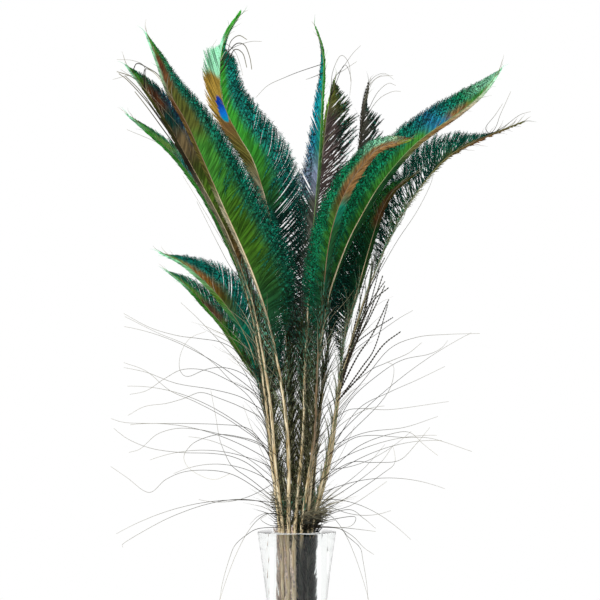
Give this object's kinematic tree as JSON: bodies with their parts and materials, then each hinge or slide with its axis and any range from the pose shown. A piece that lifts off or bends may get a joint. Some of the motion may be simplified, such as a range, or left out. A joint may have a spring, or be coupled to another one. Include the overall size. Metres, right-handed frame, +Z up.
{
  "type": "bunch of peacock side feathers in a glass vase",
  "caption": "A loose fan of iridescent green peacock side feathers with quills and stray barbs, standing in a slim, waisted vase of thick clear glass.",
  "frame": {"origin": "middle of the vase's flat underside, on the surface it stands on", "axes": "+Z up along the vase's axis, +X to the right and -Y towards the viewer in the picture's view"},
  "size_m": [0.4158, 0.2683, 0.723],
  "materials": {
    "clear_glass": "gloss",
    "barbs_tall_left": "satin",
    "barbs_slim_left": "satin",
    "barbs_low_left": "satin",
    "barbs_eyed": "satin",
    "barbs_centre": "satin",
    "barbs_brown": "satin",
    "barbs_dark": "satin",
    "barbs_bronze": "satin",
    "barbs_long_right": "satin",
    "barbs_far_right": "satin",
    "barbs_olive": "satin",
    "barbs_short_upper": "satin",
    "barbs_short_lower": "satin"
  },
  "bodies": {
    "root": {"vase": "clear_glass", "feather_tall_left": "barbs_tall_left", "feather_slim_left": "barbs_slim_left", "feather_low_left": "barbs_low_left", "feather_eyed": "barbs_eyed", "feather_centre": "barbs_centre", "feather_brown": "barbs_brown", "feather_dark": "barbs_dark", "feather_bronze": "barbs_bronze", "feather_long_right": "barbs_long_right", "feather_far_right": "barbs_far_right", "feather_olive": "barbs_olive", "feather_short_upper": "barbs_short_upper", "feather_short_lower": "barbs_short_lower"}
  },
  "joints": []
}
